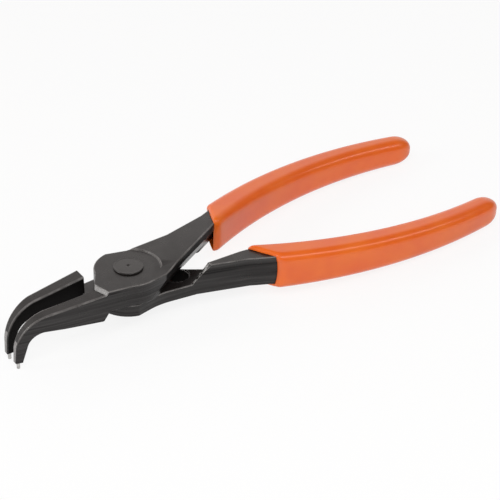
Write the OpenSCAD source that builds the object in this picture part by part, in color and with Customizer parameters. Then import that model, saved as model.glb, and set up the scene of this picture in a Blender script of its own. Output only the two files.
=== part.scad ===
// Internal circlip pliers with bent tips, 180 mm class.
// The pivot axis is Z, +X points to the handles and +Z is up. The origin lies on the
// pivot axis, at the underside of the joint. The upper lever carries the jaw on -Y and
// the handle on +Y, the lower lever the other two, so the levers cross at the joint.

/* [Joint] */
// Radius of the round joint plates
plate_r = 10.9; // [10:0.1:12]
// Distance of the flat on the plates' outer side from the pivot
plate_flat = 9.8; // [9.4:0.1:10.6]
// Direction of that flat from the tool axis
plate_flat_a = 76.5; // [70:0.5:82]
// Thickness of the lower lever's joint plate
lower_plate_t = 4.2; // [3.4:0.1:5.2]
// Thickness of the upper lever's joint plate
upper_plate_t = 7.2; // [6.4:0.1:8.4]
// Running gap between the two joint plates
plate_gap = 0.1; // [0.05:0.01:0.3]
// Height of the handle face above the spot-faced joint plate
spot_step = 0.5; // [0.2:0.1:1]
// How far the spot face's edge lies inside the plate's
spot_in = 0.7; // [0.4:0.1:1.2]
// Length of the ramp on which the spot face runs out
spot_ramp = 4; // [2:0.5:6]
// From the pivot to the inner end of the block between plate and jaw
block_in_x = 14.4; // [13.8:0.1:16]
// From the pivot to the outer end of that block
block_out_x = 13; // [12.4:0.1:14]
// Length of the bevel that leads from the block down to the jaw
bevel_l = 1; // [0.5:0.1:1.6]

/* [Rivet] */
// Diameter of the rivet shank
rivet_d = 6; // [4.5:0.1:7]
// Diameter of the raised upper rivet head
rivet_head_d = 9.6; // [8.5:0.1:12]
// Height of the upper rivet head
rivet_head_h = 0.6; // [0.4:0.05:1.2]
// Diameter of the flush lower rivet head
rivet_sink_d = 9; // [8:0.1:11]
// Depth of the flush lower rivet head
rivet_sink_h = 1.5; // [1:0.1:2.2]
// Radial running clearance of the upper lever on the shank
rivet_fit = 0.04; // [0.02:0.01:0.1]
// Clearance of the rivet in the lower lever and under its head
rivet_seat = 0.02; // [0.01:0.01:0.05]

/* [Handles] */
// Thickness of the forged handles
handle_t = 10.4; // [9.6:0.1:11.2]
// Width of the forged handles
handle_w = 5.9; // [5:0.1:6.6]
// Radius of the outward bow of each handle
bow_r = 155.8; // [150:0.1:162]
// From the pivot to where the handles are furthest apart
bow_x = 102.4; // [98:0.1:106]
// Half the distance between the handles at that place
bow_y = 25.9; // [24.5:0.1:28]
// Angle of the root's inner edge to the tool axis
root_angle = 31; // [28:0.5:34]
// How far the root's inner edge passes outside the joint plate
root_margin = 1.5; // [0.8:0.1:2.5]
// Half width of the root's outer edge beside the joint
waist_y = 8.5; // [7.5:0.1:9.5]
// From the pivot to where the root's outer edge turns outwards
turn_x = 20; // [17:0.1:23]
// Half width of the root's outer edge at that turn
turn_y = 9.9; // [9.5:0.1:11]
// From the pivot to where the full handle thickness starts
step_x = 17.8; // [16:0.1:19.5]
// Distance of the step's inner edge from the tool axis
step_y = 9; // [8:0.1:9.3]
// Set-back of the bevel along the root's inner edge
root_bevel = 2.4; // [1:0.1:2.8]
// Height of the root's inner edge above that bevel
root_edge_h = 2.6; // [1.6:0.1:3.2]
// Diameter of the round recess in the root's mating face
recess_d = 8.4; // [6:0.1:9]
// Depth of that recess
recess_h = 0.8; // [0.4:0.1:1.5]
// From the pivot to the centre of that recess
recess_x = 16.6; // [16:0.1:17.2]
// Distance of that recess from the tool axis
recess_y = 1.8; // [1:0.1:2.6]

/* [Jaws] */
// From the pivot to the front of the bent tips
jaw_reach = 41.9; // [39:0.1:46]
// Step from the joint plate down to the top of the jaws
jaw_step = 1.15; // [0.6:0.05:1.8]
// Height of the jaws at the joint
jaw_h = 9.5; // [9:0.1:10.2]
// Fall of the jaws' top towards the tips
jaw_fall = 6.3; // [4:0.1:8]
// Rise of the jaws' underside towards the tips
jaw_rise = 4; // [3:0.1:6]
// Half the gap between the jaws at the joint
jaw_gap = 3.8; // [3:0.1:4.5]
// Half the width over the jaws at the joint
jaw_out = 8.9; // [8.4:0.1:9.4]
// Half the gap between the bent tips
bend_gap = 1.9; // [1.7:0.1:2.4]
// Half the width over the jaws above the tips
bend_out = 5.4; // [5:0.1:6]
// Outer radius of the bend
bend_r = 12; // [10:0.1:13]
// Inner radius of the bend
bend_in_r = 5.5; // [4:0.1:7]
// From the pivot to the shoulder below the upper plate
upper_shoulder_x = 11.6; // [11.4:0.1:12.6]
// Slope of that shoulder
upper_shoulder_a = 33; // [20:1:40]
// From the pivot to the shoulder above the lower plate
lower_shoulder_x = 13.4; // [12.8:0.1:14.2]
// Slope of that shoulder
lower_shoulder_a = 2; // [1:1:8]
// From the top of the jaws down to the end of the bent tips
tip_drop = 17.8; // [17:0.1:20]
// Lean of the tips' front face
tip_lean = 3; // [0:0.5:6]
// Lean of the tips' rear face
tip_rear_lean = 15.5; // [12:0.5:20]
// Width of each tip at its end
tip_w = 2; // [1.95:0.05:2.6]
// Depth of each tip at its end, along the tool
tip_l = 2.4; // [2.2:0.1:3.2]

/* [Tip pins] */
// Diameter of the pins that enter the ring's holes
pin_d = 1.1; // [0.9:0.05:1.15]
// Length of the pins below the tips
pin_l = 2.5; // [2:0.1:3.5]
// Diameter of the pin's shank inside the tip
shank_d = 1.5; // [1.45:0.05:1.55]
// Depth of the shank inside the tip
shank_l = 4; // [3:0.1:5]
// Radial clearance of the shank in the tip
shank_fit = 0.01; // [0.01:0.005:0.03]
// From the tip's inner face to the pin's axis
pin_in = 1; // [0.95:0.05:1.1]
// From the front of the tips to the pin's axis
pin_back = 1.2; // [1.15:0.05:1.3]
// Chamfer at the end of the pin
pin_chamfer = 0.2; // [0.1:0.05:0.3]

/* [Grips] */
// Width of the grips at the front
grip_w = 10; // [9:0.1:11]
// Height of the grips at the front
grip_h = 13.2; // [12.6:0.1:14]
// Width of the grips near the end
grip_end_w = 8.4; // [8:0.1:9.4]
// Height of the grips near the end
grip_end_h = 9.8; // [9.4:0.1:11.5]
// Corner radius of the grips
grip_corner = 2.8; // [2:0.1:3.4]
// From the pivot to the middle of the upper grip's front rim
upper_grip_x = 38.2; // [37.5:0.1:42]
// Slant of the upper grip's front rim, which lies further back on the outside
upper_grip_slant = 45; // [30:1:54]
// From the pivot to the middle of the lower grip's front rim
lower_grip_x = 41.2; // [40:0.1:44]
// Slant of the lower grip's front rim
lower_grip_slant = 52; // [30:1:56]
// How far the rim curves back on the outside of the grips
rim_bow = 1.6; // [0:0.1:2.5]
// From the pivot to the end of the grips
grip_end_x = 132; // [126:0.5:140]
// Length of the rounded end of the grips
grip_round = 5.5; // [4:0.1:6]
// Thickness of the coat at the end of the handle
grip_end_wall = 6; // [4:0.1:9]
// Thickness of the coat above and below the handle's end
grip_end_coat = 1.4; // [1:0.1:2]
// Gap between the handle and its coat
coat_gap = 0.02; // [0.01:0.01:0.05]

/* [Hidden] */
$fn = 96;

steel = "dimgray";
bright = "silver";
orange = "orangered";
far = 200;
overlap = 0.02;
bow_fn = 360;

// Heights of the joint's layers
upper_z = lower_plate_t + plate_gap;
plate_top = upper_z + upper_plate_t;
lever_top = plate_top + spot_step;
jaw_top = plate_top - jaw_step;
tip_z = jaw_top - tip_drop;

function unit(v) = v / norm(v);
function cross2(a, b) = a.x * b.y - a.y * b.x;
function meet(p, along_p, q, along_q) = p + along_p * cross2(q - p, along_q) / cross2(along_p, along_q);
function line_y(a, b, x) = a.y + (b.y - a.y) * (x - a.x) / (b.x - a.x);

// Centre of the handle's bow, and the radii of the handle's two edges
bow_cy = bow_y - bow_r;
bow_in_r = bow_r - handle_w / 2;
bow_out_r = bow_r + handle_w / 2;
function bow_edge_y(r, x) = bow_cy + sqrt(r * r - (x - bow_x) * (x - bow_x));
function bow_angle(x) = asin((x - bow_x) / bow_r);
band_x = 30;
tang_end_x = grip_end_x - grip_end_wall;

// The root's inner edge starts at a corner beside the joint plate and ends on the handle
root_r = plate_r + root_margin;
root_a = root_angle - 90;
root_foot = root_r * [cos(root_a), sin(root_a)];
root_corner = root_foot + 2 * [cos(root_angle), sin(root_angle)];
function root_edge_y(x) = root_foot.y + (x - root_foot.x) * tan(root_angle);
corner_a = atan2(root_corner.y, root_corner.x) - acos(plate_r / norm(root_corner));
plate_tangent = plate_r * [cos(corner_a), sin(corner_a)];
root_end_x = 36;
root_end_y = min(root_edge_y(root_end_x), bow_edge_y(bow_in_r, root_end_x) - 0.5);
blend_x = 41;
bevel_start = -plate_r / 2;
spot_a = -34;
taper_x = lower_grip_x + 8;

// Corners of the jaws seen from above, for the jaw on +Y
inner_root = [-lower_shoulder_x, jaw_gap];
outer_root = [-lower_shoulder_x, jaw_out];
inner_bend = [-jaw_reach, bend_gap];
outer_bend = [-jaw_reach, bend_out];

// Corners of the block between plate and jaw. Its outer side goes on from the jaw's and
// covers it by a hair.
inner_end = [-block_in_x, jaw_gap + bevel_l / 4];
function block_side_y(x) = line_y(outer_root, outer_bend, x) + 2 * overlap;
outer_end = [-block_out_x, block_side_y(-block_out_x)];
block_wrap = 15;

// Lines that bound the jaws' side view
top_start = [-block_out_x, jaw_top];
low_start = [-lower_shoulder_x, jaw_top - jaw_h];
tip_front = [-jaw_reach, tip_z];
tip_back = [-jaw_reach + tip_l, tip_z];
along_top = [-cos(jaw_fall), -sin(jaw_fall)];
along_low = [-cos(jaw_rise), sin(jaw_rise)];
along_front = [sin(tip_lean), cos(tip_lean)];
along_back = [sin(tip_rear_lean), cos(tip_rear_lean)];
bend_outside = meet(top_start, along_top, tip_front, along_front);
bend_inside = meet(low_start, along_low, tip_back, along_back);
jaw_root_x = 3;
taper_at = top_start + along_top * (jaw_reach - block_out_x - 0.75 * bend_r) / cos(jaw_fall);
pin_at = [-jaw_reach + pin_back, line_y(inner_root, inner_bend, -jaw_reach + pin_back) + pin_in];

// The space between a corner and the circle that touches both of its sides. It reaches
// a little past the sides, and the circle just crosses them.
module corner_space(corner, to_a, to_b, r) {
    half = acos(to_a * to_b) / 2;
    centre = corner + unit(to_a + to_b) * r / sin(half);
    touch_a = corner + to_a * r / tan(half);
    touch_b = corner + to_b * r / tan(half);
    difference() {
        polygon([
            corner - unit(to_a + to_b) * 2, touch_a + unit(touch_a - centre), centre,
            touch_b + unit(touch_b - centre)
        ]);
        translate(centre) circle(r + overlap);
    }
}

// A flat shape in X and Z, carried through the whole width
module across() {
    translate([0, far / 2, 0]) rotate([90, 0, 0]) linear_extrude(far) children();
}

// The bowed handle from a given length on, seen from above
module handle_band(from_x, to_x, grow = 0) {
    intersection() {
        difference() {
            translate([bow_x, bow_cy]) circle(bow_out_r + grow, $fn = bow_fn);
            translate([bow_x, bow_cy]) circle(bow_in_r - grow, $fn = bow_fn);
        }
        translate([from_x, 0]) square([to_x - from_x, far]);
    }
}

// Handle, and the root that joins it to the plate, seen from above
module handle_outline() {
    polygon([
        [0, 0], plate_tangent, root_corner, [root_end_x, root_end_y],
        [blend_x, bow_edge_y(bow_in_r, blend_x) + 0.3],
        [root_end_x, bow_edge_y(bow_out_r, root_end_x) - overlap],
        [turn_x, turn_y], [0, waist_y - (turn_y - waist_y) / 3]
    ]);
    handle_band(band_x, tang_end_x);
}

// Side shape of the handle, which gets thinner inside the grip. Height 0 is the wide face.
module handle_side(start, from_t, grow = 0) {
    end_t = grip_end_h - 2 * grip_end_coat;
    end_low = (handle_t - end_t) / 2;
    polygon([
        [start, -grow], [taper_x, -grow], [tang_end_x + grow, end_low - grow],
        [tang_end_x + grow, end_low + end_t + grow], [taper_x, handle_t + grow],
        [start + handle_t - from_t, handle_t + grow], [start, from_t + grow]
    ]);
}

// Handle and root of one lever, wide face at height 0, handle on +Y
module handle_forging(base_t) {
    difference() {
        union() {
            intersection() {
                linear_extrude(base_t) handle_outline();
                across() handle_side(0, handle_t);
            }
            intersection() {
                linear_extrude(far) intersection() {
                    handle_outline();
                    polygon([
                        [step_x, step_y], [root_end_x, step_y - 0.3],
                        [blend_x, bow_edge_y(bow_in_r, blend_x) - 1],
                        [bow_x, 0], [far, 0], [far, far], [step_x, far]
                    ]);
                }
                across() handle_side(step_x, base_t);
            }
        }
        translate([recess_x, recess_y, base_t - recess_h]) cylinder(d = recess_d, h = recess_h);
        root_bevel_space(base_t);
    }
}

// The bevel that thins the root's inner edge towards the mating face
module root_bevel_space(base_t) {
    rise = base_t - root_edge_h;
    translate([root_foot.x, root_foot.y, 0]) rotate([0, 0, root_angle]) translate([bevel_start, 0, 0])
        rotate([90, 0, 90]) linear_extrude(far / 4) polygon([
            [-root_bevel, root_edge_h - rise], [2 * root_bevel, root_edge_h + 2 * rise],
            [-root_bevel, root_edge_h + 2 * rise]
        ]);
}

// Round joint plate with the flat beside its handle, for a handle on +Y
module plate_outline() {
    difference() {
        circle(plate_r);
        rotate(plate_flat_a) translate([plate_flat, -far / 2]) square(far);
    }
}

// Block between the joint plate and the jaw on +Y
module block_outline() {
    polygon([
        [0, block_side_y(0)], outer_end, inner_end,
        (plate_r - 0.3) * [-cos(block_wrap), -sin(block_wrap)], [0, 0]
    ]);
}

// Side view of the jaws and their bent tips
module jaw_side() {
    difference() {
        polygon([
            [-jaw_root_x, jaw_top + (block_out_x - jaw_root_x) * tan(jaw_fall)], bend_outside,
            tip_front, tip_back, bend_inside,
            [-jaw_root_x, low_start.y - (lower_shoulder_x - jaw_root_x) * tan(jaw_rise)]
        ]);
        corner_space(bend_outside, -along_top, -along_front, bend_r);
    }
    corner_space(bend_inside, -along_back, -along_low, bend_in_r);
}

// Both jaws have this shape. It is for the jaw on +Y.
module jaw() {
    difference() {
        intersection() {
            linear_extrude(far, center = true) polygon([
                [-jaw_root_x, line_y(inner_root, inner_bend, -jaw_root_x)], inner_bend,
                outer_bend, [-jaw_root_x, line_y(outer_root, outer_bend, -jaw_root_x)]
            ]);
            across() jaw_side();
        }
        tip_taper();
    }
}

// The space outside the jaw's tapered tip: its flat side starts at the bend and leans
// inwards down to the tip's end
module tip_taper() {
    lean = (bend_out - bend_gap - tip_w) / (taper_at.x + jaw_reach + taper_at.y - tip_z);
    spread = (jaw_out - bend_out) / (jaw_reach - lower_shoulder_x);
    normal = unit([-spread - lean, 1, -lean]);
    translate([taper_at.x, line_y(outer_root, outer_bend, taper_at.x), taper_at.y])
        rotate([0, acos(normal.z), atan2(normal.y, normal.x)])
        translate([-far / 2, -far / 2, 0]) cube([far, far, far / 8]);
}

// Hole for the shank of a tip pin, for the jaw on +Y
module pin_hole() {
    translate([pin_at.x, pin_at.y, tip_z - 1])
        cylinder(d = shank_d + 2 * shank_fit, h = shank_l + shank_fit + 1, $fn = 32);
}

// The bevel from the upper plate's block down to the jaw on +Y
module block_bevel() {
    along = outer_end - inner_end;
    translate([inner_end.x, inner_end.y, plate_top]) rotate([0, 0, atan2(along.x, -along.y)])
        translate([-bevel_l, -far / 2, 0]) rotate([0, atan2(jaw_step + 0.25, bevel_l), 0])
        cube([far / 4, far, far / 8]);
}

// The spot face runs out over the root's corner on a shallow ramp
module spot_run_out() {
    translate([0, 0, plate_top]) rotate([0, 0, spot_a]) rotate([90, 0, 90])
        linear_extrude(2 * root_r) polygon([
            [-2 * root_r, 0], [0, 0], [3 * spot_ramp, 3 * spot_step], [-2 * root_r, 3 * spot_step]
        ]);
}

// Upper lever: plate on top, jaw on -Y, handle on +Y
module upper_lever() {
    color(steel) difference() {
        union() {
            translate([0, 0, lever_top]) mirror([0, 0, 1]) handle_forging(lever_top - upper_z);
            translate([0, 0, upper_z]) linear_extrude(upper_plate_t) plate_outline();
            mirror([0, 1, 0]) difference() {
                union() {
                    difference() {
                        translate([0, 0, upper_z]) linear_extrude(upper_plate_t) block_outline();
                        block_bevel();
                    }
                    jaw();
                }
                across() polygon([
                    [-upper_shoulder_x, upper_z], [far, upper_z], [far, tip_z],
                    [-upper_shoulder_x - (upper_z - tip_z) * tan(upper_shoulder_a), tip_z]
                ]);
            }
        }
        translate([0, 0, plate_top]) cylinder(r = plate_r - spot_in, h = spot_step + 1);
        spot_run_out();
        mirror([0, 1, 0]) pin_hole();
        cylinder(d = rivet_d + 2 * rivet_fit, h = lever_top + 1);
    }
}

// Lower lever: plate below, jaw on +Y, handle on -Y
module lower_lever() {
    color(steel) difference() {
        union() {
            mirror([0, 1, 0]) handle_forging(lower_plate_t);
            linear_extrude(lower_plate_t) mirror([0, 1]) plate_outline();
            linear_extrude(lower_plate_t) block_outline();
            difference() {
                jaw();
                across() polygon([
                    [-lower_shoulder_x, lower_plate_t], [far, lower_plate_t], [far, far],
                    [-lower_shoulder_x - (far - lower_plate_t) * tan(lower_shoulder_a), far]
                ]);
                across() translate([-block_in_x, -far]) square([far, far]);
            }
        }
        pin_hole();
        translate([0, 0, -1]) cylinder(d = rivet_d + 2 * rivet_seat, h = lower_plate_t + 2);
        translate([0, 0, -rivet_seat]) cylinder(
            d1 = rivet_sink_d + 4 * rivet_seat, d2 = rivet_d + 2 * rivet_seat,
            h = rivet_sink_h + 2 * rivet_seat);
    }
}

// Pivot rivet: flush head below, low raised head with a centre mark on top
module pivot_rivet() {
    head_z = plate_top + rivet_seat;
    head_r = rivet_head_d / 2;
    edge = rivet_head_h / 2;
    mark_r = rivet_head_h * 1.5;
    color(steel) difference() {
        rotate_extrude() polygon([
            [0, 0], [rivet_sink_d / 2, 0], [rivet_d / 2, rivet_sink_h], [rivet_d / 2, head_z],
            [head_r, head_z], [head_r, head_z + edge], [head_r - edge, head_z + rivet_head_h],
            [0, head_z + rivet_head_h]
        ]);
        translate([0, 0, head_z + rivet_head_h + mark_r * 0.8]) sphere(mark_r);
    }
}

// Section of the grip as points around its middle, with round corners
corner_steps = 5;
function section(w, h) = [
    for (quarter = [0 : 3], k = [0 : corner_steps])
        let (a = 90 * (quarter + k / corner_steps))
        let (sx = (quarter == 0 || quarter == 3) ? 1 : -1)
        let (sz = quarter < 2 ? 1 : -1)
        [sx * (w / 2 - grip_corner) + grip_corner * cos(a), sz * (h / 2 - grip_corner) + grip_corner * sin(a)]
];

// Rings along the grip: how far along, and how much of the section is left
body_rings = 18;
round_rings = 6;
end_a = bow_angle(grip_end_x);
mm_a = 180 / PI / bow_r;
round_share = grip_round * mm_a / (end_a - bow_angle(upper_grip_x));
function round_turn(i) = 90 * (i - body_rings) / (round_rings + 0.5);
function ring_share(i) = i <= body_rings
    ? (1 - round_share) * i / body_rings
    : 1 - round_share * (1 - sin(round_turn(i)));
function ring_scale(i) = i <= body_rings ? 1 : cos(round_turn(i));

// The rim's slant and curve fade out along the grip
function grip_point(p, share, rim_x, slant) =
    let (side = max(-handle_w / 2, min(handle_w / 2, p.x)))
    let (curve = p.x > 0 ? rim_bow * (1 - pow(2 * p.y / grip_h, 2)) * p.x * 2 / grip_w : 0)
    let (start_a = bow_angle(rim_x) + (side * tan(slant) + curve) * mm_a)
    let (a = start_a + share * (end_a - start_a))
    [bow_x + (bow_r + p.x) * sin(a), bow_cy + (bow_r + p.x) * cos(a), p.y];

// Dip-coated grip on +Y around its middle height
module grip_body(rim_x, slant) {
    count = 4 * (corner_steps + 1);
    rings = body_rings + round_rings + 1;
    points = [
        for (i = [0 : rings - 1])
            let (share = ring_share(i))
            let (w = grip_w + (grip_end_w - grip_w) * share)
            let (h = grip_h + (grip_end_h - grip_h) * share)
            for (p = section(w, h)) grip_point(p * ring_scale(i), share, rim_x, slant)
    ];
    sides = [
        for (i = [0 : rings - 2], k = [0 : count - 1])
            let (next = (k + 1) % count)
            [i * count + k, i * count + next, (i + 1) * count + next, (i + 1) * count + k]
    ];
    front = [for (k = [count - 1 : -1 : 0]) k];
    back = [for (k = [0 : count - 1]) (rings - 1) * count + k];
    polyhedron(points, concat(sides, [front, back]), convexity = 4);
}

// Grip with the handle's space taken out, wide face of the handle at height 0
module grip(rim_x, slant) {
    difference() {
        translate([0, 0, handle_t / 2]) grip_body(rim_x, slant);
        intersection() {
            linear_extrude(far, center = true) union() {
                handle_band(band_x, tang_end_x + coat_gap, coat_gap);
                polygon([
                    [root_end_x, root_end_y - 2 * coat_gap],
                    [blend_x, bow_edge_y(bow_in_r - 2 * coat_gap, blend_x) + 0.3],
                    [root_end_x, waist_y + handle_w]
                ]);
            }
            across() handle_side(0, handle_t, coat_gap);
        }
    }
}

module upper_grip() {
    color(orange) translate([0, 0, lever_top]) mirror([0, 0, 1]) grip(upper_grip_x, upper_grip_slant);
}

module lower_grip() {
    color(orange) mirror([0, 1, 0]) grip(lower_grip_x, lower_grip_slant);
}

// Hardened pin with a shank in the tip, for the jaw on +Y
module tip_pin() {
    translate([pin_at.x, pin_at.y, tip_z]) rotate_extrude($fn = 32) polygon([
        [0, -pin_l], [pin_d / 2 - pin_chamfer, -pin_l], [pin_d / 2, -pin_l + pin_chamfer], [pin_d / 2, 0],
        [shank_d / 2, 0], [shank_d / 2, shank_l], [0, shank_l]
    ]);
}

module upper_tip_pin() {
    color(bright) mirror([0, 1, 0]) tip_pin();
}

module lower_tip_pin() {
    color(bright) tip_pin();
}

upper_lever();
lower_lever();
pivot_rivet();
upper_grip();
lower_grip();
upper_tip_pin();
lower_tip_pin();
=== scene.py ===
# %% [markdown]
# # Circlip pliers
# These pliers squeeze a spring ring that sits inside a bore. Two black forged levers cross
# at a rivet, their jaws end in bent tips with a thin steel pin each, and the handles are
# dipped in orange vinyl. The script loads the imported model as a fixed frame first, because
# every piece is placed by it and moves with its bodies.

# %% Load the frame
import math

import bmesh
import bpy
import numpy as np
from mathutils import Matrix, Vector


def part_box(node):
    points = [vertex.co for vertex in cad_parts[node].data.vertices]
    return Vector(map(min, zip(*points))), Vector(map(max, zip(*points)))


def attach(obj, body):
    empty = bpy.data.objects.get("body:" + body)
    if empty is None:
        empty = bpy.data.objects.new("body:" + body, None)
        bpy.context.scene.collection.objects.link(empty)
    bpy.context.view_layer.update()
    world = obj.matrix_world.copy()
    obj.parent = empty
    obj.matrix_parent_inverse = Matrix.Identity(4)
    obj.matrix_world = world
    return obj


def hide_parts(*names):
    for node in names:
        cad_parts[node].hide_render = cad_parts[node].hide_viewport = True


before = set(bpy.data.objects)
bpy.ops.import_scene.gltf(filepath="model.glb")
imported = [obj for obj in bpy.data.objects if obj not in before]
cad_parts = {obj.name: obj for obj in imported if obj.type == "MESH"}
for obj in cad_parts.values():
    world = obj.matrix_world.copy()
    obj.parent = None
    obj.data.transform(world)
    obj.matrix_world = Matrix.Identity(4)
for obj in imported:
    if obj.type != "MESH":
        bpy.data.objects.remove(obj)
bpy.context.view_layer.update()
MM = 0.001

# %% [markdown]
# ## Camera
# The photograph looks down on the tool from the front left, through a long lens. A camera
# could be aimed with a constraint, but here its three axes are written out: the way back
# to the photographer, the picture's right and its up, both turned by a small roll.

# %% Camera at the photograph's viewing angle
azimuth, elevation, roll = np.radians([-35.178, 32.15, 2.089])
distance, target = 499.8 * MM, Vector((45.574, -0.928, 3.458)) * MM
back = Vector((math.sin(azimuth) * math.cos(elevation),
               -math.cos(azimuth) * math.cos(elevation), math.sin(elevation)))
level = Vector((math.cos(azimuth), math.sin(azimuth), 0))
upright = back.cross(level)
picture_right = level * math.cos(roll) + upright * math.sin(roll)
picture_up = upright * math.cos(roll) - level * math.sin(roll)

camera_data = bpy.data.cameras.new("photo_camera")
camera_data.sensor_width = 36
camera_data.lens = 109.22
camera_data.clip_start, camera_data.clip_end = 0.01, 100
camera = bpy.data.objects.new("photo_camera", camera_data)
axes = Matrix((picture_right, picture_up, back)).transposed().to_4x4()
camera.matrix_world = Matrix.Translation(target + back * distance) @ axes
bpy.context.collection.objects.link(camera)
bpy.context.scene.camera = camera
bpy.context.scene.view_settings.view_transform = "Standard"
print("camera at", [round(v, 4) for v in camera.matrix_world.translation])

# %% [markdown]
# ## Floor and light
# The tool lies on its bent tips and the ends of its grips, so the floor is a plane that
# tilts a little against the tool. It could be a scaled primitive, but a grid of computed
# heights keeps the tilt in the mesh.

# %% Tilted floor
FLOOR_AT_PIVOT, FLOOR_SLOPE_X, FLOOR_SLOPE_Y = -7.4 * MM, 0.0659, 0.0327
FLOOR_REACH, FLOOR_POINTS = 4, 9


def floor_height(x, y):
    """Height of the plane under the tips and the grips: a constant plus a slope in x and y."""
    return FLOOR_AT_PIVOT + FLOOR_SLOPE_X * x + FLOOR_SLOPE_Y * y


reach = np.linspace(-FLOOR_REACH, FLOOR_REACH, FLOOR_POINTS)
floor_x, floor_y = np.meshgrid(reach, reach, indexing="ij")
floor_points = np.stack([floor_x, floor_y, floor_height(floor_x, floor_y)], -1).reshape(-1, 3)
cells = np.arange(FLOOR_POINTS - 1)
first_corner = (cells[:, None] * FLOOR_POINTS + cells).reshape(-1, 1)
floor_faces = first_corner + [0, FLOOR_POINTS, FLOOR_POINTS + 1, 1]
floor_mesh = bpy.data.meshes.new("floor")
floor_mesh.from_pydata(floor_points.tolist(), [], floor_faces.tolist())
floor = bpy.data.objects.new("floor", floor_mesh)
bpy.context.collection.objects.link(floor)
print("floor under the tips at", round(floor_height(-0.040, 0.0) / MM, 2), "mm")

# %% [markdown]
# The floor is white paper. A plain white would turn grey away from the lamps, so where the
# camera or a reflection sees the floor, it is mixed with a white glow. The share that is
# left unmixed still keeps a soft shadow.

# %% White paper
GLOW_SHARE = 0.85


def material_nodes(name):
    """A new material, its node tree and its Principled shader."""
    material = bpy.data.materials.new(name)
    material.use_nodes = True
    return material, material.node_tree, material.node_tree.nodes["Principled BSDF"]


def combine(tree, operation, first, second):
    """One value combined with another, or with a plain number, by a Math node."""
    node = tree.nodes.new("ShaderNodeMath")
    node.operation = operation
    tree.links.new(first, node.inputs[0])
    if isinstance(second, float):
        node.inputs[1].default_value = second
    else:
        tree.links.new(second, node.inputs[1])
    return node.outputs[0]


paper, tree, shader = material_nodes("white_paper")
shader.inputs["Base Color"].default_value = (0.94, 0.94, 0.94, 1)
shader.inputs["Roughness"].default_value = 0.9
shader.inputs["Specular IOR Level"].default_value = 0.1
glow = tree.nodes.new("ShaderNodeEmission")
glow.inputs["Color"].default_value = (1, 1, 1, 1)
glow.inputs["Strength"].default_value = 1.0
ray = tree.nodes.new("ShaderNodeLightPath").outputs
seen = combine(tree, "MAXIMUM", ray["Is Camera Ray"], ray["Is Glossy Ray"])
seen = combine(tree, "MAXIMUM", seen, ray["Is Transmission Ray"])
mix = tree.nodes.new("ShaderNodeMixShader")
tree.links.new(combine(tree, "MULTIPLY", seen, GLOW_SHARE), mix.inputs[0])
tree.links.new(shader.outputs[0], mix.inputs[1])
tree.links.new(glow.outputs[0], mix.inputs[2])
tree.links.new(mix.outputs[0], tree.nodes["Material Output"].inputs["Surface"])
floor_mesh.materials.append(paper)
print("made", paper.name)

# %% [markdown]
# The reflections suggest a bright wall behind the tool and a dim room in front: flat tops
# mirror the wall, while the ridges of the grips mirror a dark ceiling and keep their full
# colour. The world is such a room. A bright band is mixed in where a direction points
# backwards and not too high. An image of a studio would do the same, but two ramps are
# easier to change.

# %% World
ROOM_STRENGTH, WALL_STRENGTH = 0.13, 1.02
WALL_FULL_Y, WALL_TOP_Z, CEILING_Z = 0.35, 0.62, 0.82


def spread(tree, value, low, high, to_low, to_high):
    """The value carried from one range to another, held at its ends."""
    node = tree.nodes.new("ShaderNodeMapRange")
    ends = {"From Min": low, "From Max": high, "To Min": to_low, "To Max": to_high}
    for name, number in ends.items():
        node.inputs[name].default_value = number
    tree.links.new(value, node.inputs["Value"])
    return node.outputs["Result"]


world = bpy.data.worlds.new("studio_room")
bpy.context.scene.world = world
world.use_nodes = True
tree = world.node_tree
room = tree.nodes["Background"]
direction = tree.nodes.new("ShaderNodeSeparateXYZ")
tree.links.new(tree.nodes.new("ShaderNodeTexCoord").outputs["Generated"], direction.inputs[0])
backwards = spread(tree, direction.outputs["Y"], 0, WALL_FULL_Y, 0, 1)
not_high = spread(tree, direction.outputs["Z"], WALL_TOP_Z, CEILING_Z, 1, 0)
wall = combine(tree, "MULTIPLY", backwards, not_high)
tree.links.new(spread(tree, wall, 0, 1, ROOM_STRENGTH, WALL_STRENGTH), room.inputs["Strength"])
room.inputs["Color"].default_value = (1.0, 0.955, 0.93, 1)
print("world:", world.name)

# %% [markdown]
# Three softboxes light the tool. The large one stands for the light that the room throws
# back, so it is hidden from reflections. The small one on the left lights the bevel beside
# the joint and the edges of the jaws. The long strip in front draws a thin line along the
# ridges of the grips and the near edges.

# %% Softboxes
def softbox(name, place, aim, size, watts, depth=None):
    """An area lamp at place that faces aim: a square, or a strip of the given depth."""
    lamp = bpy.data.lights.new(name, "AREA")
    lamp.shape = "RECTANGLE"
    lamp.size, lamp.size_y, lamp.energy = size, depth or size, watts
    thing = bpy.data.objects.new(name, lamp)
    thing.location = place
    thing.rotation_euler = (Vector(aim) - Vector(place)).to_track_quat("-Z", "Y").to_euler()
    bpy.context.collection.objects.link(thing)
    return thing


middle = (0.045, 0, 0)
fill = softbox("fill_softbox", (-0.38, -0.45, 0.65), middle, size=0.8, watts=4.9)
fill.visible_glossy = False
softbox("side_softbox", (-0.75, 0.28, 0.42), middle, size=0.3, watts=1.6)
softbox("strip_softbox", (0.25, -0.5, 0.62), (0.25, 0, 0), size=1.2, watts=2.0, depth=0.05)

# %% [markdown]
# ## Finishes
# The finishes need a few helpers: a noise, a colour ramp, a bump, coordinates that draw a
# noise out into streaks, and how far a surface faces up. Nodes could be wired by hand in
# the editor, but small functions keep each finish to a few lines.

# %% Helpers for finishes
NOISE_LOW, NOISE_HIGH = 0.3, 0.7
STREAK_SQUEEZE = 0.014


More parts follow.
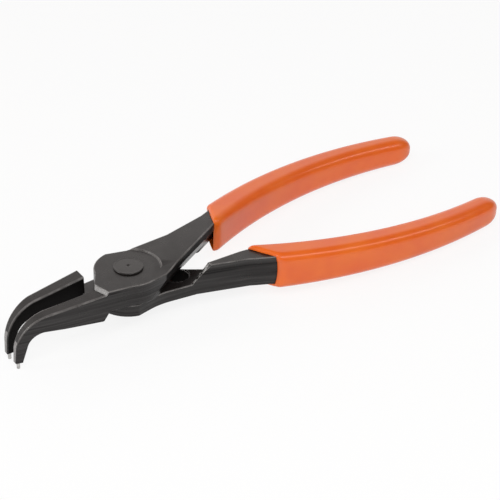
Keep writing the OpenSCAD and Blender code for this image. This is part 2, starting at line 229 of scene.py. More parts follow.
def noise(tree, vector, scale, detail, roughness=0.55):
    """A noise texture on the given coordinates, with scale in waves per metre.

    Most of its values lie between NOISE_LOW and NOISE_HIGH."""
    texture = tree.nodes.new("ShaderNodeTexNoise")
    texture.inputs["Scale"].default_value = scale
    texture.inputs["Detail"].default_value = detail
    texture.inputs["Roughness"].default_value = roughness
    tree.links.new(vector, texture.inputs["Vector"])
    return texture.outputs["Fac"]


def colours(tree, value, *stops):
    """A colour ramp between two stops, each a position and a colour."""
    node = tree.nodes.new("ShaderNodeValToRGB")
    for element, (position, colour) in zip(node.color_ramp.elements, stops):
        element.position = position
        element.color = (*colour, 1)
    tree.links.new(value, node.inputs["Fac"])
    return node.outputs["Color"]


def bump(tree, shader, height, strength, depth):
    """Links a bump with the given height, and a depth in metres, to the shader's normal."""
    node = tree.nodes.new("ShaderNodeBump")
    node.inputs["Strength"].default_value = strength
    node.inputs["Distance"].default_value = depth
    tree.links.new(height, node.inputs["Height"])
    tree.links.new(node.outputs["Normal"], shader.inputs["Normal"])


def along_sides(tree, vector):
    """Coordinates squeezed in length and width, so that a noise on them draws level streaks."""
    node = tree.nodes.new("ShaderNodeVectorMath")
    node.operation = "MULTIPLY"
    node.inputs[1].default_value = (STREAK_SQUEEZE, STREAK_SQUEEZE, 1.0)
    tree.links.new(vector, node.inputs[0])
    return node.outputs["Vector"]


def facing_up(tree):
    """How far a surface faces straight up: 1 for a level top, 0 for an upright side."""
    node = tree.nodes.new("ShaderNodeSeparateXYZ")
    tree.links.new(tree.nodes.new("ShaderNodeNewGeometry").outputs["Normal"], node.inputs[0])
    return node.outputs["Z"]


def object_place(tree):
    """Coordinates that stay with the object, in metres."""
    return tree.nodes.new("ShaderNodeTexCoord").outputs["Object"]


print("finish helpers ready, streaks squeezed to", STREAK_SQUEEZE)

# %% [markdown]
# The levers are forged and phosphated: a dull black coat of fine crystals with a little
# oil on it. A flat black would look like plastic, so a broad noise varies its roughness and
# a fine bump breaks up the reflection. Upright sides show level streaks, so there the
# streaks also vary how strongly the coat mirrors. Level tops stay even.

# %% Black phosphated steel
TOP_SPECULAR, SIDE_LEAST, SIDE_MOST = 0.56, 0.12, 0.66
SIDE_UP, TOP_UP = 0.2, 0.8
SMOOTHER, ROUGHER = -0.05, 0.06
COAT_DARK, COAT_LIGHT = (0.004, 0.0032, 0.003), (0.018, 0.0145, 0.0135)
GRAIN_DEPTH = 0.12 * MM


def streaky_specular(tree, streaks):
    """Specular level: the top's value plus, on upright sides, an offset that follows the streaks."""
    least, most = SIDE_LEAST - TOP_SPECULAR, SIDE_MOST - TOP_SPECULAR
    side = spread(tree, facing_up(tree), SIDE_UP, TOP_UP, 1, 0)
    offset = combine(tree, "MULTIPLY", side, spread(tree, streaks, NOISE_LOW, NOISE_HIGH, least, most))
    return spread(tree, offset, least, most, SIDE_LEAST, SIDE_MOST)


def phosphated_steel(name, dark, light, gloss, grain):
    """Phosphate coat: colour from level streaks, roughness from a broad noise, bump from a fine one."""
    material, tree, shader = material_nodes(name)
    where = object_place(tree)
    broad = noise(tree, where, scale=260, detail=4)
    fine = noise(tree, where, scale=2600, detail=3, roughness=0.6)
    streaks = noise(tree, along_sides(tree, where), scale=900, detail=5, roughness=0.7)
    colour = colours(tree, streaks, (NOISE_LOW, dark), (NOISE_HIGH, light))
    roughness = spread(tree, broad, NOISE_LOW, NOISE_HIGH, gloss + SMOOTHER, gloss + ROUGHER)
    tree.links.new(colour, shader.inputs["Base Color"])
    tree.links.new(streaky_specular(tree, streaks), shader.inputs["Specular IOR Level"])
    tree.links.new(roughness, shader.inputs["Roughness"])
    bump(tree, shader, fine, grain, GRAIN_DEPTH)
    return material


black_steel = phosphated_steel("black_phosphated_steel", COAT_DARK, COAT_LIGHT, gloss=0.3, grain=0.3)
print("made", black_steel.name)

# %% [markdown]
# Edges that face up are coloured a lighter grey in patches: partly wear from handling, partly
# painted highlight where light from above falls on the rounded edges. Vertex paint could mark
# them, but how far a surface faces up, times a noise, gives the same patches with no painting.

# %% Rubbed edges with painted highlight
EDGE_PLAIN_DARK, RUBBED_HIGHLIGHT_GREY = (0.011, 0.009, 0.0085), (0.16, 0.15, 0.145)
RUB_SHINE_FROM_UP, RUB_SHINE_FULL_UP = 0.1, 0.5
PATCH_LOW, PATCH_HIGH, PATCH_LEAST = 0.35, 0.6, 0.45

rubbed_highlit_edge = phosphated_steel("rubbed_highlit_steel_edge", COAT_DARK, COAT_LIGHT, gloss=0.28, grain=0.25)
tree = rubbed_highlit_edge.node_tree
patch_noise = noise(tree, object_place(tree), scale=160, detail=3)
patches = spread(tree, patch_noise, PATCH_LOW, PATCH_HIGH, PATCH_LEAST, 1)
handled_and_lit = spread(tree, facing_up(tree), RUB_SHINE_FROM_UP, RUB_SHINE_FULL_UP, 0, 1)
rubbed_and_highlit = combine(tree, "MULTIPLY", handled_and_lit, patches)
# Wear and painted highlight: edges facing up are coloured a lighter grey in patches.
tree.links.new(colours(tree, rubbed_and_highlit, (0.0, EDGE_PLAIN_DARK), (1.0, RUBBED_HIGHLIGHT_GREY)),
               tree.nodes["Principled BSDF"].inputs["Base Color"])
print("made", rubbed_highlit_edge.name)

# %% [markdown]
# The shoulder in front of the lower grip is rough and pitted, as a forging is before it is
# dressed. Its bright spots are painted glints. The pits are one noise that sets both the colour,
# with its painted glints, and a deep bump, so that the glints stand out.

# %% Rough shoulder with painted glints
PIT_DARK, PIT_GLINT_GREY = (0.008, 0.007, 0.0065), (0.34, 0.33, 0.32)
PIT_FROM, PIT_TO, PIT_DEPTH = 0.46, 0.58, 0.5 * MM

rough_glinting_steel = phosphated_steel("rough_forged_steel_with_glints", (0.006, 0.005, 0.0045), (0.03, 0.026, 0.024),
                               gloss=0.3, grain=0.4)
tree = rough_glinting_steel.node_tree
shader = tree.nodes["Principled BSDF"]
pits_and_glints = noise(tree, object_place(tree), scale=900, detail=2, roughness=0.6)
# Painted glints: the highest pits are coloured light grey.
tree.links.new(colours(tree, pits_and_glints, (PIT_FROM, PIT_DARK), (PIT_TO, PIT_GLINT_GREY)),
               shader.inputs["Base Color"])
bump(tree, shader, pits_and_glints, strength=1.0, depth=PIT_DEPTH)
print("made", rough_glinting_steel.name)

# %% [markdown]
# Three more materials are the same coat with other values. The inner faces of the jaws and
# the crotch behind the joint get painted shade: a darker colour that mirrors almost nothing.
# The bevel beside the joint gets a painted highlight in light grey, and the fronts of the tips
# get a light grey that is partly wear and partly painted highlight.

# %% Painted shade, painted highlight and worn steel
SHADE_SPECULAR = 0.06

# Painted shade: the inner faces and the crotch are coloured darker and mirror almost nothing.
painted_shade_steel = phosphated_steel("painted_shade_inner_steel", (0.002, 0.0018, 0.0017), (0.007, 0.006, 0.0056),
                              gloss=0.5, grain=0.4)
shade_level = painted_shade_steel.node_tree.nodes["Principled BSDF"].inputs["Specular IOR Level"]
painted_shade_steel.node_tree.links.remove(shade_level.links[0])
shade_level.default_value = SHADE_SPECULAR
# Painted highlight: the bevel beside the joint is coloured light grey.
bevel_highlight_steel = phosphated_steel("painted_highlight_bevel_steel", (0.13, 0.125, 0.12), (0.22, 0.21, 0.2),
                                gloss=0.3, grain=0.15)
# Wear and painted highlight: the tip fronts are coloured a light grey.
worn_highlit_steel = phosphated_steel("worn_highlit_tip_steel", (0.15, 0.142, 0.139), (0.25, 0.238, 0.233),
                              gloss=0.35, grain=0.2)
print("made", painted_shade_steel.name, bevel_highlight_steel.name, "and", worn_highlit_steel.name)

# %% [markdown]
# The rivet head is the same dark steel, but a pressed head is smoother than a forging.
# The tip pins are bare drawn wire: bright, with fine rings from grinding. The rings are a
# wave texture along the pin.

# %% Rivet and pin finishes
RING_WAVES, RING_DEPTH = 1500, 0.02 * MM
PIN_DARK, PIN_LIGHT = (0.36, 0.35, 0.34), (0.6, 0.59, 0.57)
PIN_SMOOTH, PIN_ROUGH = 0.22, 0.34

rivet_steel = phosphated_steel("pressed_rivet_steel", (0.022, 0.0195, 0.0185), (0.038, 0.035, 0.033),
                               gloss=0.3, grain=0.2)
pin_steel, tree, shader = material_nodes("bare_pin_steel")
where = object_place(tree)
rings = tree.nodes.new("ShaderNodeTexWave")
rings.bands_direction = "Z"
rings.inputs["Scale"].default_value = RING_WAVES
rings.inputs["Distortion"].default_value = 1.5
tree.links.new(where, rings.inputs["Vector"])
wire = noise(tree, where, scale=900, detail=3)
tree.links.new(colours(tree, wire, (NOISE_LOW, PIN_DARK), (NOISE_HIGH, PIN_LIGHT)),
               shader.inputs["Base Color"])
pin_roughness = spread(tree, rings.outputs["Fac"], 0, 1, PIN_SMOOTH, PIN_ROUGH)
tree.links.new(pin_roughness, shader.inputs["Roughness"])
shader.inputs["Metallic"].default_value = 1
bump(tree, shader, rings.outputs["Fac"], strength=0.15, depth=RING_DEPTH)
print("made", rivet_steel.name, "and", pin_steel.name)

# %% [markdown]
# The grips were dipped in liquid vinyl and baked. The skin is glossy and even, with a soft
# orange-peel swell where it ran and a few duller patches. The colour wanders a little
# between orange and red-orange. A thin coat layer gives the wet gloss.

# %% Orange vinyl
VINYL_RED, VINYL_ORANGE = (0.78, 0.112, 0.007), (0.83, 0.152, 0.01)
VINYL_GLOSSY, VINYL_DULL, PEEL_DEPTH = 0.3, 0.38, 0.2 * MM

orange_vinyl, tree, shader = material_nodes("orange_dip_vinyl")
where = object_place(tree)
swell = noise(tree, where, scale=90, detail=2)
peel = noise(tree, where, scale=520, detail=2, roughness=0.4)
tree.links.new(colours(tree, swell, (NOISE_LOW, VINYL_RED), (NOISE_HIGH, VINYL_ORANGE)),
               shader.inputs["Base Color"])
vinyl_roughness = spread(tree, swell, NOISE_LOW, NOISE_HIGH, VINYL_GLOSSY, VINYL_DULL)
tree.links.new(vinyl_roughness, shader.inputs["Roughness"])
shader.inputs["Coat Weight"].default_value = 0.32
shader.inputs["Coat Roughness"].default_value = 0.12
bump(tree, shader, peel, strength=0.12, depth=PEEL_DEPTH)
print("made", orange_vinyl.name)

# %% [markdown]
# ## Levers
# Each lever is one forging: handle, joint plate and jaw. Its solid has sharp edges, while
# the real one is rounded by the die and by tumbling. Every edge could be modelled by hand,
# but the solid is already right, so a copy of its mesh is merged here and rounded by a Bevel
# modifier below. The inner corner at the waist, where the handle leaves the plate, needs a
# far wider fillet than the other edges, so it is made first.

# %% Merged copy with a filled waist
WELD, FLAT_DEGREES = 0.06 * MM, 0.6
WAIST_X, WAIST_Y, WAIST_NEAR, WAIST_FILLET = 6.2 * MM, 8.6 * MM, 1.5 * MM, 3.5 * MM
WAIST_TURN = -0.2
UPRIGHT_SHARE = 0.9


def edge_places(work):
    """For each edge: the turn between its faces, positive where it stands out, its middle,
    and whether it is upright, which means that most of its length is height."""
    turn = np.array([e.calc_face_angle_signed(0.0) for e in work.edges])
    ends = np.array([[v.co[:] for v in e.verts] for e in work.edges])
    length = np.linalg.norm(ends[:, 0] - ends[:, 1], axis=1)
    upright = np.ptp(ends[:, :, 2], axis=1) > UPRIGHT_SHARE * length
    return turn, ends.mean(1), upright


def merged_copy(node):
    """A lever's solid as one welded mesh, with an arc in place of the upright edge at the waist."""
    work = bmesh.new()
    work.from_mesh(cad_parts[node].data)
    bmesh.ops.remove_doubles(work, verts=work.verts, dist=WELD)
    bmesh.ops.dissolve_limit(work, angle_limit=math.radians(FLAT_DEGREES),
                             verts=work.verts, edges=work.edges)
    turn, centre, upright = edge_places(work)
    from_waist = np.hypot(centre[:, 0] - WAIST_X, np.abs(centre[:, 1]) - WAIST_Y)
    waist = upright & (turn < WAIST_TURN) & (from_waist < WAIST_NEAR)
    bmesh.ops.bevel(work, geom=[e for e, here in zip(work.edges, waist) if here],
                    offset=WAIST_FILLET, segments=6, profile=0.5, affect="EDGES")
    return work


print("waist fillet", round(WAIST_FILLET / MM, 2), "mm")

# %% [markdown]
# Each edge gets its own share of the bevel's width. Edges that stand out get all of it, and
# more along the jaws. Inner corners get half. The tips' ends, the rough shoulder and the bevel
# beside the joint are crisper, and the edges round the rivet and the pins stay sharp, because
# other pieces fit there. One place needs care: beside the plate the root of the handle runs
# tangent into the plate's round wall, and a bevel would throw up a spike there, so the share
# fades to none round that corner, between the plate's rims.

# %% Shares of the bevel width, with places in mm
PIN_X, PIN_Y = -40.7, 2.98
JAW_SIDE = {"upper": -1, "lower": 1}
STANDS_OUT, TURNS_IN = math.radians(28), math.radians(20)
RIVET_CLEAR, PIN_CLEAR = 5.6, 0.8
JAW_START_X, JAW_FADE, BEND_Z, BEND_FADE, JAW_EXTRA = -15.5, 6.0, -3.0, 10.0, 0.5
ROOT_DEGREES, ROOT_SPAN, ROOT_FADE = 59, 30, 10
ROOT_R, ROOT_TOP, ROOT_LOW = 13.8, 11.3, {"upper": 4.4, "lower": 0.3}
TIP_END_Z, TIP_END_SHARE = -7.2, 0.4
SHOULDER_X, SHOULDER_Z, SHOULDER_SHARE = 21.0, 7.3, 0.35
SHOULDER_EDGE_X, SHOULDER_EDGE_Z = 3.6, 3.3
BEVEL_X, BEVEL_NEAR, BEVEL_LOW, BEVEL_SHARE = -13.5, 2.0, 9.9, 0.3


def edge_shares(turn, centre, body):
    """Each edge's share of the bevel width, from its turn and its middle.

    The share is 1 or 0.5 or 0 by the turn. Fades are a distance over a length, held in 0 to 1."""
    x, y, z = centre.T / MM
    side = JAW_SIDE[body]
    from_pivot = np.hypot(x, y)
    from_pin = np.hypot(x - PIN_X, y - side * PIN_Y)
    share = np.where(turn > STANDS_OUT, 1.0, np.where(turn < -TURNS_IN, 0.5, 0.0))
    share[(from_pivot < RIVET_CLEAR) | (from_pin < PIN_CLEAR)] = 0.0
    along_jaw = np.clip((JAW_START_X - x) / JAW_FADE, 0, 1) * np.clip((z - BEND_Z) / BEND_FADE, 0, 1)
    share = np.where(share == 1.0, 1 + JAW_EXTRA * along_jaw, share)
    off_root = np.abs(np.degrees(np.arctan2(y, x)) - side * ROOT_DEGREES)
    by_root = (from_pivot < ROOT_R) & (z < ROOT_TOP) & (z > ROOT_LOW[body])
    share *= np.where(by_root, np.clip((off_root - ROOT_SPAN) / ROOT_FADE, 0, 1), 1)
    share[(z < TIP_END_Z) & (share > 0)] = TIP_END_SHARE
    by_shoulder = (np.abs(x - SHOULDER_X) < SHOULDER_EDGE_X) & (np.abs(z - SHOULDER_Z) < SHOULDER_EDGE_Z)
    share[by_shoulder] *= SHOULDER_SHARE
    by_bevel = (np.abs(x - BEVEL_X) < BEVEL_NEAR) & (z > BEVEL_LOW)
    share[by_bevel] = np.where(turn[by_bevel] > 0, np.minimum(share[by_bevel], BEVEL_SHARE), 0.0)
    return share


print("pins at", PIN_X, "and", PIN_Y, "mm, root corner at", ROOT_DEGREES, "degrees")

# %% [markdown]
# Most faces keep the black coat. The shoulder takes its rough coat with painted glints, the
# bevel beside the joint a painted highlight, the inner faces and the crotch painted shade, and
# the tip fronts a light grey of wear and painted highlight. They could be picked by hand in
# Edit Mode, but a face's place and the way it faces find them again after any change of the solid.

# %% Finishes and painted light of the faces, with places in mm
LEVER_SURFACES = (black_steel, rubbed_highlit_edge, rough_glinting_steel, bevel_highlight_steel, painted_shade_steel, worn_highlit_steel)
SHOULDER_NEAR = 4.0
TIP_FRONT_X, TIP_FRONT_TOP = -39.0, 0.5
INNER_X = -14.0
CROTCH_X, CROTCH_Z, CROTCH_NEAR = 9.0, 3.7, 0.8
CROTCH_WALL_FROM, CROTCH_WALL_TO = 6.0, 20.0
SLANTED, HALFWAY, MOSTLY, SQUARELY = 0.3, 0.5, 0.8, 0.9


def face_surfaces(mesh, body):
    """The number of each face's finish or painted light in LEVER_SURFACES, from its middle and its
    normal.
    """
    middle, normal = np.empty(3 * len(mesh.polygons)), np.empty(3 * len(mesh.polygons))
    mesh.polygons.foreach_get("center", middle)
    mesh.polygons.foreach_get("normal", normal)
    x, _, z = middle.reshape(-1, 3).T / MM
    facing_x, facing_y, facing_z = normal.reshape(-1, 3).T
    forwards = facing_x < -HALFWAY
    # The shoulder's faces take the rough coat with painted glints.
    shoulder = (np.abs(x - SHOULDER_X) < SHOULDER_NEAR) & forwards & (np.abs(facing_z) > HALFWAY)
    # The bevel's faces take a painted highlight.
    bevel = (np.abs(x - BEVEL_X) < BEVEL_NEAR) & forwards & (facing_z > SLANTED)
    # The tip fronts take a light grey of wear and painted highlight.
    tip_front = (x < TIP_FRONT_X) & (z < TIP_FRONT_TOP) & (facing_x < -MOSTLY)
    # The inner faces and the crotch take painted shade.
    inner = (x < INNER_X) & (facing_y * JAW_SIDE[body] < -SQUARELY)
    crotch = (x > CROTCH_X) & (facing_z > SQUARELY) & (np.abs(z - CROTCH_Z) < CROTCH_NEAR)
    crotch |= (x > CROTCH_WALL_FROM) & (x < CROTCH_WALL_TO) & (facing_x > HALFWAY)
    special = (rough_glinting_steel, bevel_highlight_steel, painted_shade_steel, worn_highlit_steel)
    numbers = [LEVER_SURFACES.index(finish) for finish in special]
    return np.select([shoulder, bevel, inner | crotch, tip_front], numbers, 0).astype(np.int32)


print("lever finishes:", [finish.name for finish in LEVER_SURFACES])

# %% [markdown]
# With the shares and the surfaces at hand, each lever is a few steps: the merged copy becomes
# a mesh, its edges get their weights and its sharp marks, its faces their finish or painted
# light, and the Bevel modifier gives the rounded strips the rubbed grey with its painted highlight.

# %% Rounded copies of the forged levers
ROUNDING, ROUNDING_STEPS = 0.42 * MM, 3
SHARP_UPRIGHT, SHARP_OTHER = math.radians(32), math.radians(22)


def rounded_lever(name, node, body):
    """A merged copy of a lever's solid whose edges carry their share of the bevel width."""
    work = merged_copy(node)
    turn, centre, upright = edge_places(work)
    share = edge_shares(turn, centre, body)
    mesh = bpy.data.meshes.new(name)
    work.to_mesh(mesh)
    work.free()
    weight = mesh.attributes.new("bevel_weight_edge", "FLOAT", "EDGE")
    weight.data.foreach_set("value", share.astype(np.float32))
    mesh.shade_smooth()
    sharp = mesh.attributes.new("sharp_edge", "BOOLEAN", "EDGE")
    sharp.data.foreach_set("value", np.abs(turn) > np.where(upright, SHARP_UPRIGHT, SHARP_OTHER))
    for finish in LEVER_SURFACES:
        mesh.materials.append(finish)
    mesh.polygons.foreach_set("material_index", face_surfaces(mesh, body))
    lever = bpy.data.objects.new(name, mesh)
    bpy.context.collection.objects.link(lever)
    rounding = lever.modifiers.new("rounding", "BEVEL")
    rounding.limit_method = "WEIGHT"
    rounding.width = ROUNDING
    rounding.segments = ROUNDING_STEPS
    # The rounded strips take the rubbed grey with its painted highlight.
    rounding.material = LEVER_SURFACES.index(rubbed_highlit_edge)
    rounding.use_clamp_overlap = False
    rounding.harden_normals = True
    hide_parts(node)
    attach(lever, body)
    print(name, "has", len(mesh.polygons), "faces and", int((share > 0).sum()), "rounded edges")


rounded_lever("upper_forging", "upper_lever", "upper")
rounded_lever("lower_forging", "lower_lever", "lower")

# %% [markdown]
# ## Turned pieces
# The rivet and the pins are round, so each is a profile turned about its axis. The Screw
# modifier or a Spin would do, but a grid of angle and profile point is one line of numpy
# and closes exactly at both poles. The same skin of rings serves for the grips.

# %% Helpers that skin rings of points
SKIN_SHARP = math.radians(50)


def skin(name, rings):
    """A closed mesh from rings of points, shape (rings, around, 3), with a pole at each end.

    Neighbouring rings are joined by quads, and the first and last ring by fans to their middle."""
    count, around = rings.shape[:2]
    poles = np.stack([rings[0].mean(0), rings[-1].mean(0)])
    points = np.concatenate([rings.reshape(-1, 3), poles])
    here = np.arange(around)
    there = (here + 1) % around
    row = np.arange(count - 1)[:, None] * around
    quads = np.stack([row + here, row + there, row + around + there, row + around + here], -1)
    first = np.stack([there, here, np.full(around, count * around)], -1)
    end = (count - 1) * around
    last = np.stack([end + here, end + there, np.full(around, count * around + 1)], -1)
    mesh = bpy.data.meshes.new(name)
    faces = quads.reshape(-1, 4).tolist() + first.tolist() + last.tolist()
    mesh.from_pydata(points.tolist(), [], faces)
    work = bmesh.new()
    work.from_mesh(mesh)
    if work.calc_volume(signed=True) < 0:
        bmesh.ops.reverse_faces(work, faces=work.faces)
    work.to_mesh(mesh)
    work.free()
    mesh.shade_smooth()
    mesh.set_sharp_from_angle(angle=SKIN_SHARP)
    thing = bpy.data.objects.new(name, mesh)
    bpy.context.collection.objects.link(thing)
    return thing


def turned(name, profile, centre, around):
    """A profile of radius and height in mm, turned about a vertical axis through centre.

    Point (j, k) is centre + radius_j * (cos a_k, sin a_k) at height_j."""
    radius, height = np.array(profile, float).T[:, :, None]
    angle = np.linspace(0, 2 * np.pi, around, endpoint=False)
    x = centre[0] + radius * np.cos(angle)
    y = centre[1] + radius * np.sin(angle)
    return skin(name, np.stack([x, y, np.repeat(height, around, 1)], -1) * MM)


def rounded_corner(centre, radius, start, stop, steps):
    """Points of an arc in the profile's plane, from one angle to another in degrees."""
    a = np.radians(np.linspace(start, stop, steps))
    return np.stack([centre[0] + radius * np.cos(a), centre[1] + radius * np.sin(a)], -1)


print("skins are shaded sharp from", round(math.degrees(SKIN_SHARP)), "degrees")

# %% [markdown]
# The rivet's upper head is a low button: a rim with a rounded corner, a very flat crown
# and a small dimple where the punch was centred. Below, the head is flush in the lower
# lever's countersink. The crown and the dimple are parabolas, so both have a formula.

# %% Rivet, in mm
AXIS_R, HAIR, EASE = 0.02, 0.03, 0.1
LOW_FACE, LOW_HEAD_R, RIVET_FILLET = 0.03, 4.3, 0.11
RIVET_SHANK_R, COUNTERSINK_TOP = 2.99, 1.5
HEAD_LOW, HEAD_R, HEAD_CORNER = 11.53, 4.66, 0.36
HEAD_CORNER_AT = (4.4, 11.76)
CROWN_R, CROWN_INNER_R, CROWN_TOP, CROWN_DROP = 4.35, 0.62, 12.12, 0.05
DIMPLE_R, DIMPLE_TOP, DIMPLE_DEPTH = 0.55, 12.08, 0.22

crown_r = np.linspace(CROWN_R, CROWN_INNER_R, 14)
crown = np.stack([crown_r, CROWN_TOP - CROWN_DROP * (crown_r / CROWN_R) ** 2], -1)
dimple_r = np.linspace(DIMPLE_R, AXIS_R, 6)
dimple = np.stack([dimple_r, DIMPLE_TOP - DIMPLE_DEPTH * (1 - (dimple_r / DIMPLE_R) ** 2)], -1)
shank = [[RIVET_SHANK_R + HAIR, COUNTERSINK_TOP], [RIVET_SHANK_R, COUNTERSINK_TOP + EASE],
         [RIVET_SHANK_R, HEAD_LOW - HAIR], [RIVET_SHANK_R + RIVET_FILLET, HEAD_LOW], [HEAD_R, HEAD_LOW]]
rivet_profile = np.concatenate([
    [[AXIS_R, LOW_FACE], [LOW_HEAD_R - EASE, LOW_FACE]],
    rounded_corner((LOW_HEAD_R, LOW_FACE + RIVET_FILLET), RIVET_FILLET, -90, 40, 4),
    shank, rounded_corner(HEAD_CORNER_AT, HEAD_CORNER, -20, 80, 7), crown, dimple])
rivet = turned("pivot_rivet_turned", rivet_profile, (0, 0), 96)
rivet.data.materials.append(rivet_steel)
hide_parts("pivot_rivet")
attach(rivet, "lower")

# %% [markdown]
# Each tip holds a hardened pin that goes into one hole of the ring. Only its rounded end
# stands out below the tip, and a thicker shank sits inside. Two cylinders would show a hard
# step, so the whole outline is one turned profile. Its ends are taken from the frame, and
# it stays a hair inside the solid.

# %% Tip pins, in mm
PIN_R, PIN_ROUND, PIN_INSIDE = 0.55, 0.22, 0.02
SHANK_R, SHANK_STEP_R, SHANK_BACK_R = 0.745, 0.69, 0.66
SHANK_LENGTH, SHANK_CHAMFER, SHANK_BACK = 4.0, 0.05, 0.1


def tip_pin(name, node, body):
    """A pin with a rounded end below the tip and a thicker shank inside it."""
    low, high = (corner.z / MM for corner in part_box(node))
    end, back, step = low + PIN_INSIDE, high - PIN_INSIDE, high - SHANK_LENGTH
    profile = np.concatenate([
        [[AXIS_R, end]],
        rounded_corner((PIN_R - PIN_ROUND, end + PIN_ROUND), PIN_ROUND, -90, 0, 5),
        [[PIN_R, step - PIN_INSIDE], [SHANK_STEP_R, step], [SHANK_R, step + SHANK_CHAMFER],
         [SHANK_R, high - SHANK_BACK], [SHANK_BACK_R, back], [AXIS_R, back]]])
    pin = turned(name, profile, (PIN_X, JAW_SIDE[body] * PIN_Y), 32)
    pin.data.materials.append(pin_steel)
    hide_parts(node)
    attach(pin, body)


tip_pin("upper_tip_pin_turned", "upper_tip_pin", "upper")
tip_pin("lower_tip_pin_turned", "lower_tip_pin", "lower")

# %% [markdown]
# ## Grips
# A dip coat is a skin of even thickness that ends in a rolled lip at the front and in a
# rounded drop at the end. A Solidify modifier on an open tube would give a sharp rim, so
# the whole skin is one sweep: from the bottom of the inner pocket forwards to the rim,
# round the lip, and back along the outside to the end. Each ring is a rounded rectangle.

# %% Rings of the grips, in mm
HANDLE_W, HANDLE_T, COAT_GAP = 5.9, 10.4, 0.03
TANG_THINNING, POCKET_CORNER, POCKET_END, RIM_SHARE = 1.7, 0.3, 0.3, 0.004
LIP_LENGTH, LIP_START, DROP_LENGTH, DROP_STOP, DROP_FULLNESS = 2.4, 6, 7.0, 88, 0.8
GRIP_HALF_W, GRIP_HALF_H, GRIP_CORNER = 5.0, 6.6, 2.8
NARROWING, FLATTENING, CORNER_GROWTH = 0.8, 1.7, 0.9


def rounded_rectangle(half_w, half_h, corner, per_corner=12, per_side=5):
    """Rings of rounded rectangles: each quarter arc keeps its corner radius, and the straight
    sides between two arcs are divided evenly. Sizes are arrays with one value per ring."""
    a = np.radians(np.linspace(0, 90, per_corner))
    arcs = []
    for quarter, (sx, sz) in enumerate(((1, 1), (-1, 1), (-1, -1), (1, -1))):
        x = sx * (half_w - corner)[:, None] + corner[:, None] * np.cos(a + quarter * np.pi / 2)
        z = sz * (half_h - corner)[:, None] + corner[:, None] * np.sin(a + quarter * np.pi / 2)
        arcs.append(np.stack([x, z], -1))
    step = np.linspace(0, 1, per_side + 2)[1:-1][None, :, None]
    ring = []
    for arc, following in zip(arcs, arcs[1:] + arcs[:1]):
        ring += [arc, arc[:, -1:] * (1 - step) + following[:, :1] * step]
    return np.concatenate(ring, 1)


def pocket_rings(tang, taper):
    """Shares along the grip and rings of the inner skin, from the tang's end to the rim.

    The height shrinks in proportion from the taper to the tang's end."""
    share = np.concatenate([[tang, tang], np.linspace(tang, taper, 24)[1:],
                            np.linspace(taper, RIM_SHARE, 6)[1:]])
    thin = np.clip((share - taper) / (tang - taper), 0, 1)
    half_w = np.full(share.shape, HANDLE_W / 2 + COAT_GAP)
    half_h = HANDLE_T / 2 - TANG_THINNING * thin + COAT_GAP
    half_w[0], half_h[0] = POCKET_END, POCKET_END
    return share, rounded_rectangle(half_w, half_h, np.minimum(POCKET_CORNER, half_w * 0.9))


def outer_rings(length):
    """Shares along the grip and rings of the outer skin, from the rim to the end.

    The lip grows out of the steel by the sine of a quarter turn, the body gets smaller in
    proportion to its share, and the drop shrinks by a power of the cosine of a quarter turn."""
    lip_turn = np.radians(np.linspace(LIP_START, 90, 9))
    lip = LIP_LENGTH / length * (1 - np.cos(lip_turn))
    body = np.linspace(lip[-1], 1 - DROP_LENGTH / length, 60)[1:]
    drop_turn = np.radians(np.linspace(0, DROP_STOP, 20))[1:]
    drop = 1 - DROP_LENGTH / length * (1 - np.sin(drop_turn))
    share = np.concatenate([lip, body, drop])
    kept = np.concatenate([np.ones(len(lip) + len(body)), np.cos(drop_turn) ** DROP_FULLNESS])
    rings = rounded_rectangle(GRIP_HALF_W - NARROWING * share, GRIP_HALF_H - FLATTENING * share,
                              GRIP_CORNER + CORNER_GROWTH * share) * kept[:, None, None]
    steel_sizes = (HANDLE_W / 2 + COAT_GAP, HANDLE_T / 2 + COAT_GAP, POCKET_CORNER)
    steel = rounded_rectangle(*(np.full(len(lip), size) for size in steel_sizes))
    grow = np.sin(lip_turn)[:, None, None]
    rings[:len(lip)] = steel + (rings[:len(lip)] - steel) * grow
    return share, rings


print("grip", 2 * GRIP_HALF_W, "by", 2 * GRIP_HALF_H, "mm at the rim")

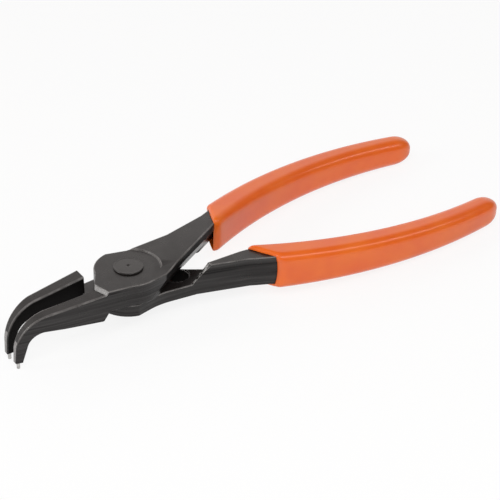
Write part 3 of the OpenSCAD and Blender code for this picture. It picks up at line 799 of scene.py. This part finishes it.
# %% [markdown]
# The handle's bow is an arc of a large circle, so the rings are carried along that circle.
# A Curve modifier could bend a straight grip, but the rim is cut at a slant and curves on
# the outside, so each point has its own start on the arc, and the slant fades to the end.
# The upper lever's handle hangs from the top of the tool, so its grip is turned over.

# %% Grip surfaces, in mm
BOW_R, BOW_X, BOW_Y = 155.8, 102.4, 25.9
GRIP_END_X, TANG_END_X, TAPER_X = 132.0, 126.0, 49.2
RIM_CURVE, LEVER_TOP = 1.6, 12


def bow_angle(x):
    """Angle along the handle's bow at a given length."""
    return np.arcsin((x - BOW_X) / BOW_R)


def grip_skin(name, node, body, rim_x, slant):
    """The closed skin of one grip.

    A ring point (p, q) at share s along the grip lies at the angle start + s * (end - start)
    on the bow's circle, at the radius bow + p and the height q. The start of each point leans
    back with the rim's slant and with a shallow curve on the outside."""
    end_a, rim_a = bow_angle(GRIP_END_X), bow_angle(rim_x)
    length = (end_a - rim_a) * BOW_R
    tang, taper = ((bow_angle(x) - rim_a) * BOW_R / length for x in (TANG_END_X, TAPER_X))
    pocket_share, pocket = pocket_rings(tang, taper)
    outer_share, outer = outer_rings(length)
    share = np.concatenate([pocket_share, outer_share])[:, None]
    across, height = np.moveaxis(np.concatenate([pocket, outer]), -1, 0)
    lean = np.clip(across, -HANDLE_W / 2, HANDLE_W / 2) * math.tan(math.radians(slant))
    curve = RIM_CURVE * (1 - (height / GRIP_HALF_H) ** 2) * across / GRIP_HALF_W
    start = rim_a + (lean + np.where(across > 0, curve, 0)) / BOW_R
    a = start + share * (end_a - start)
    x = BOW_X + (BOW_R + across) * np.sin(a)
    y = -JAW_SIDE[body] * (BOW_Y - BOW_R + (BOW_R + across) * np.cos(a))
    z = height + HANDLE_T / 2
    z = LEVER_TOP - z if body == "upper" else z
    grip = skin(name, np.stack([x, y, z], -1) * MM)
    grip.data.materials.append(orange_vinyl)
    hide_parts(node)
    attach(grip, body)
    print(name, "has", len(grip.data.polygons), "faces")


grip_skin("upper_dip_coat", "upper_grip", "upper", rim_x=38.2, slant=45)
grip_skin("lower_dip_coat", "lower_grip", "lower", rim_x=41.2, slant=52)
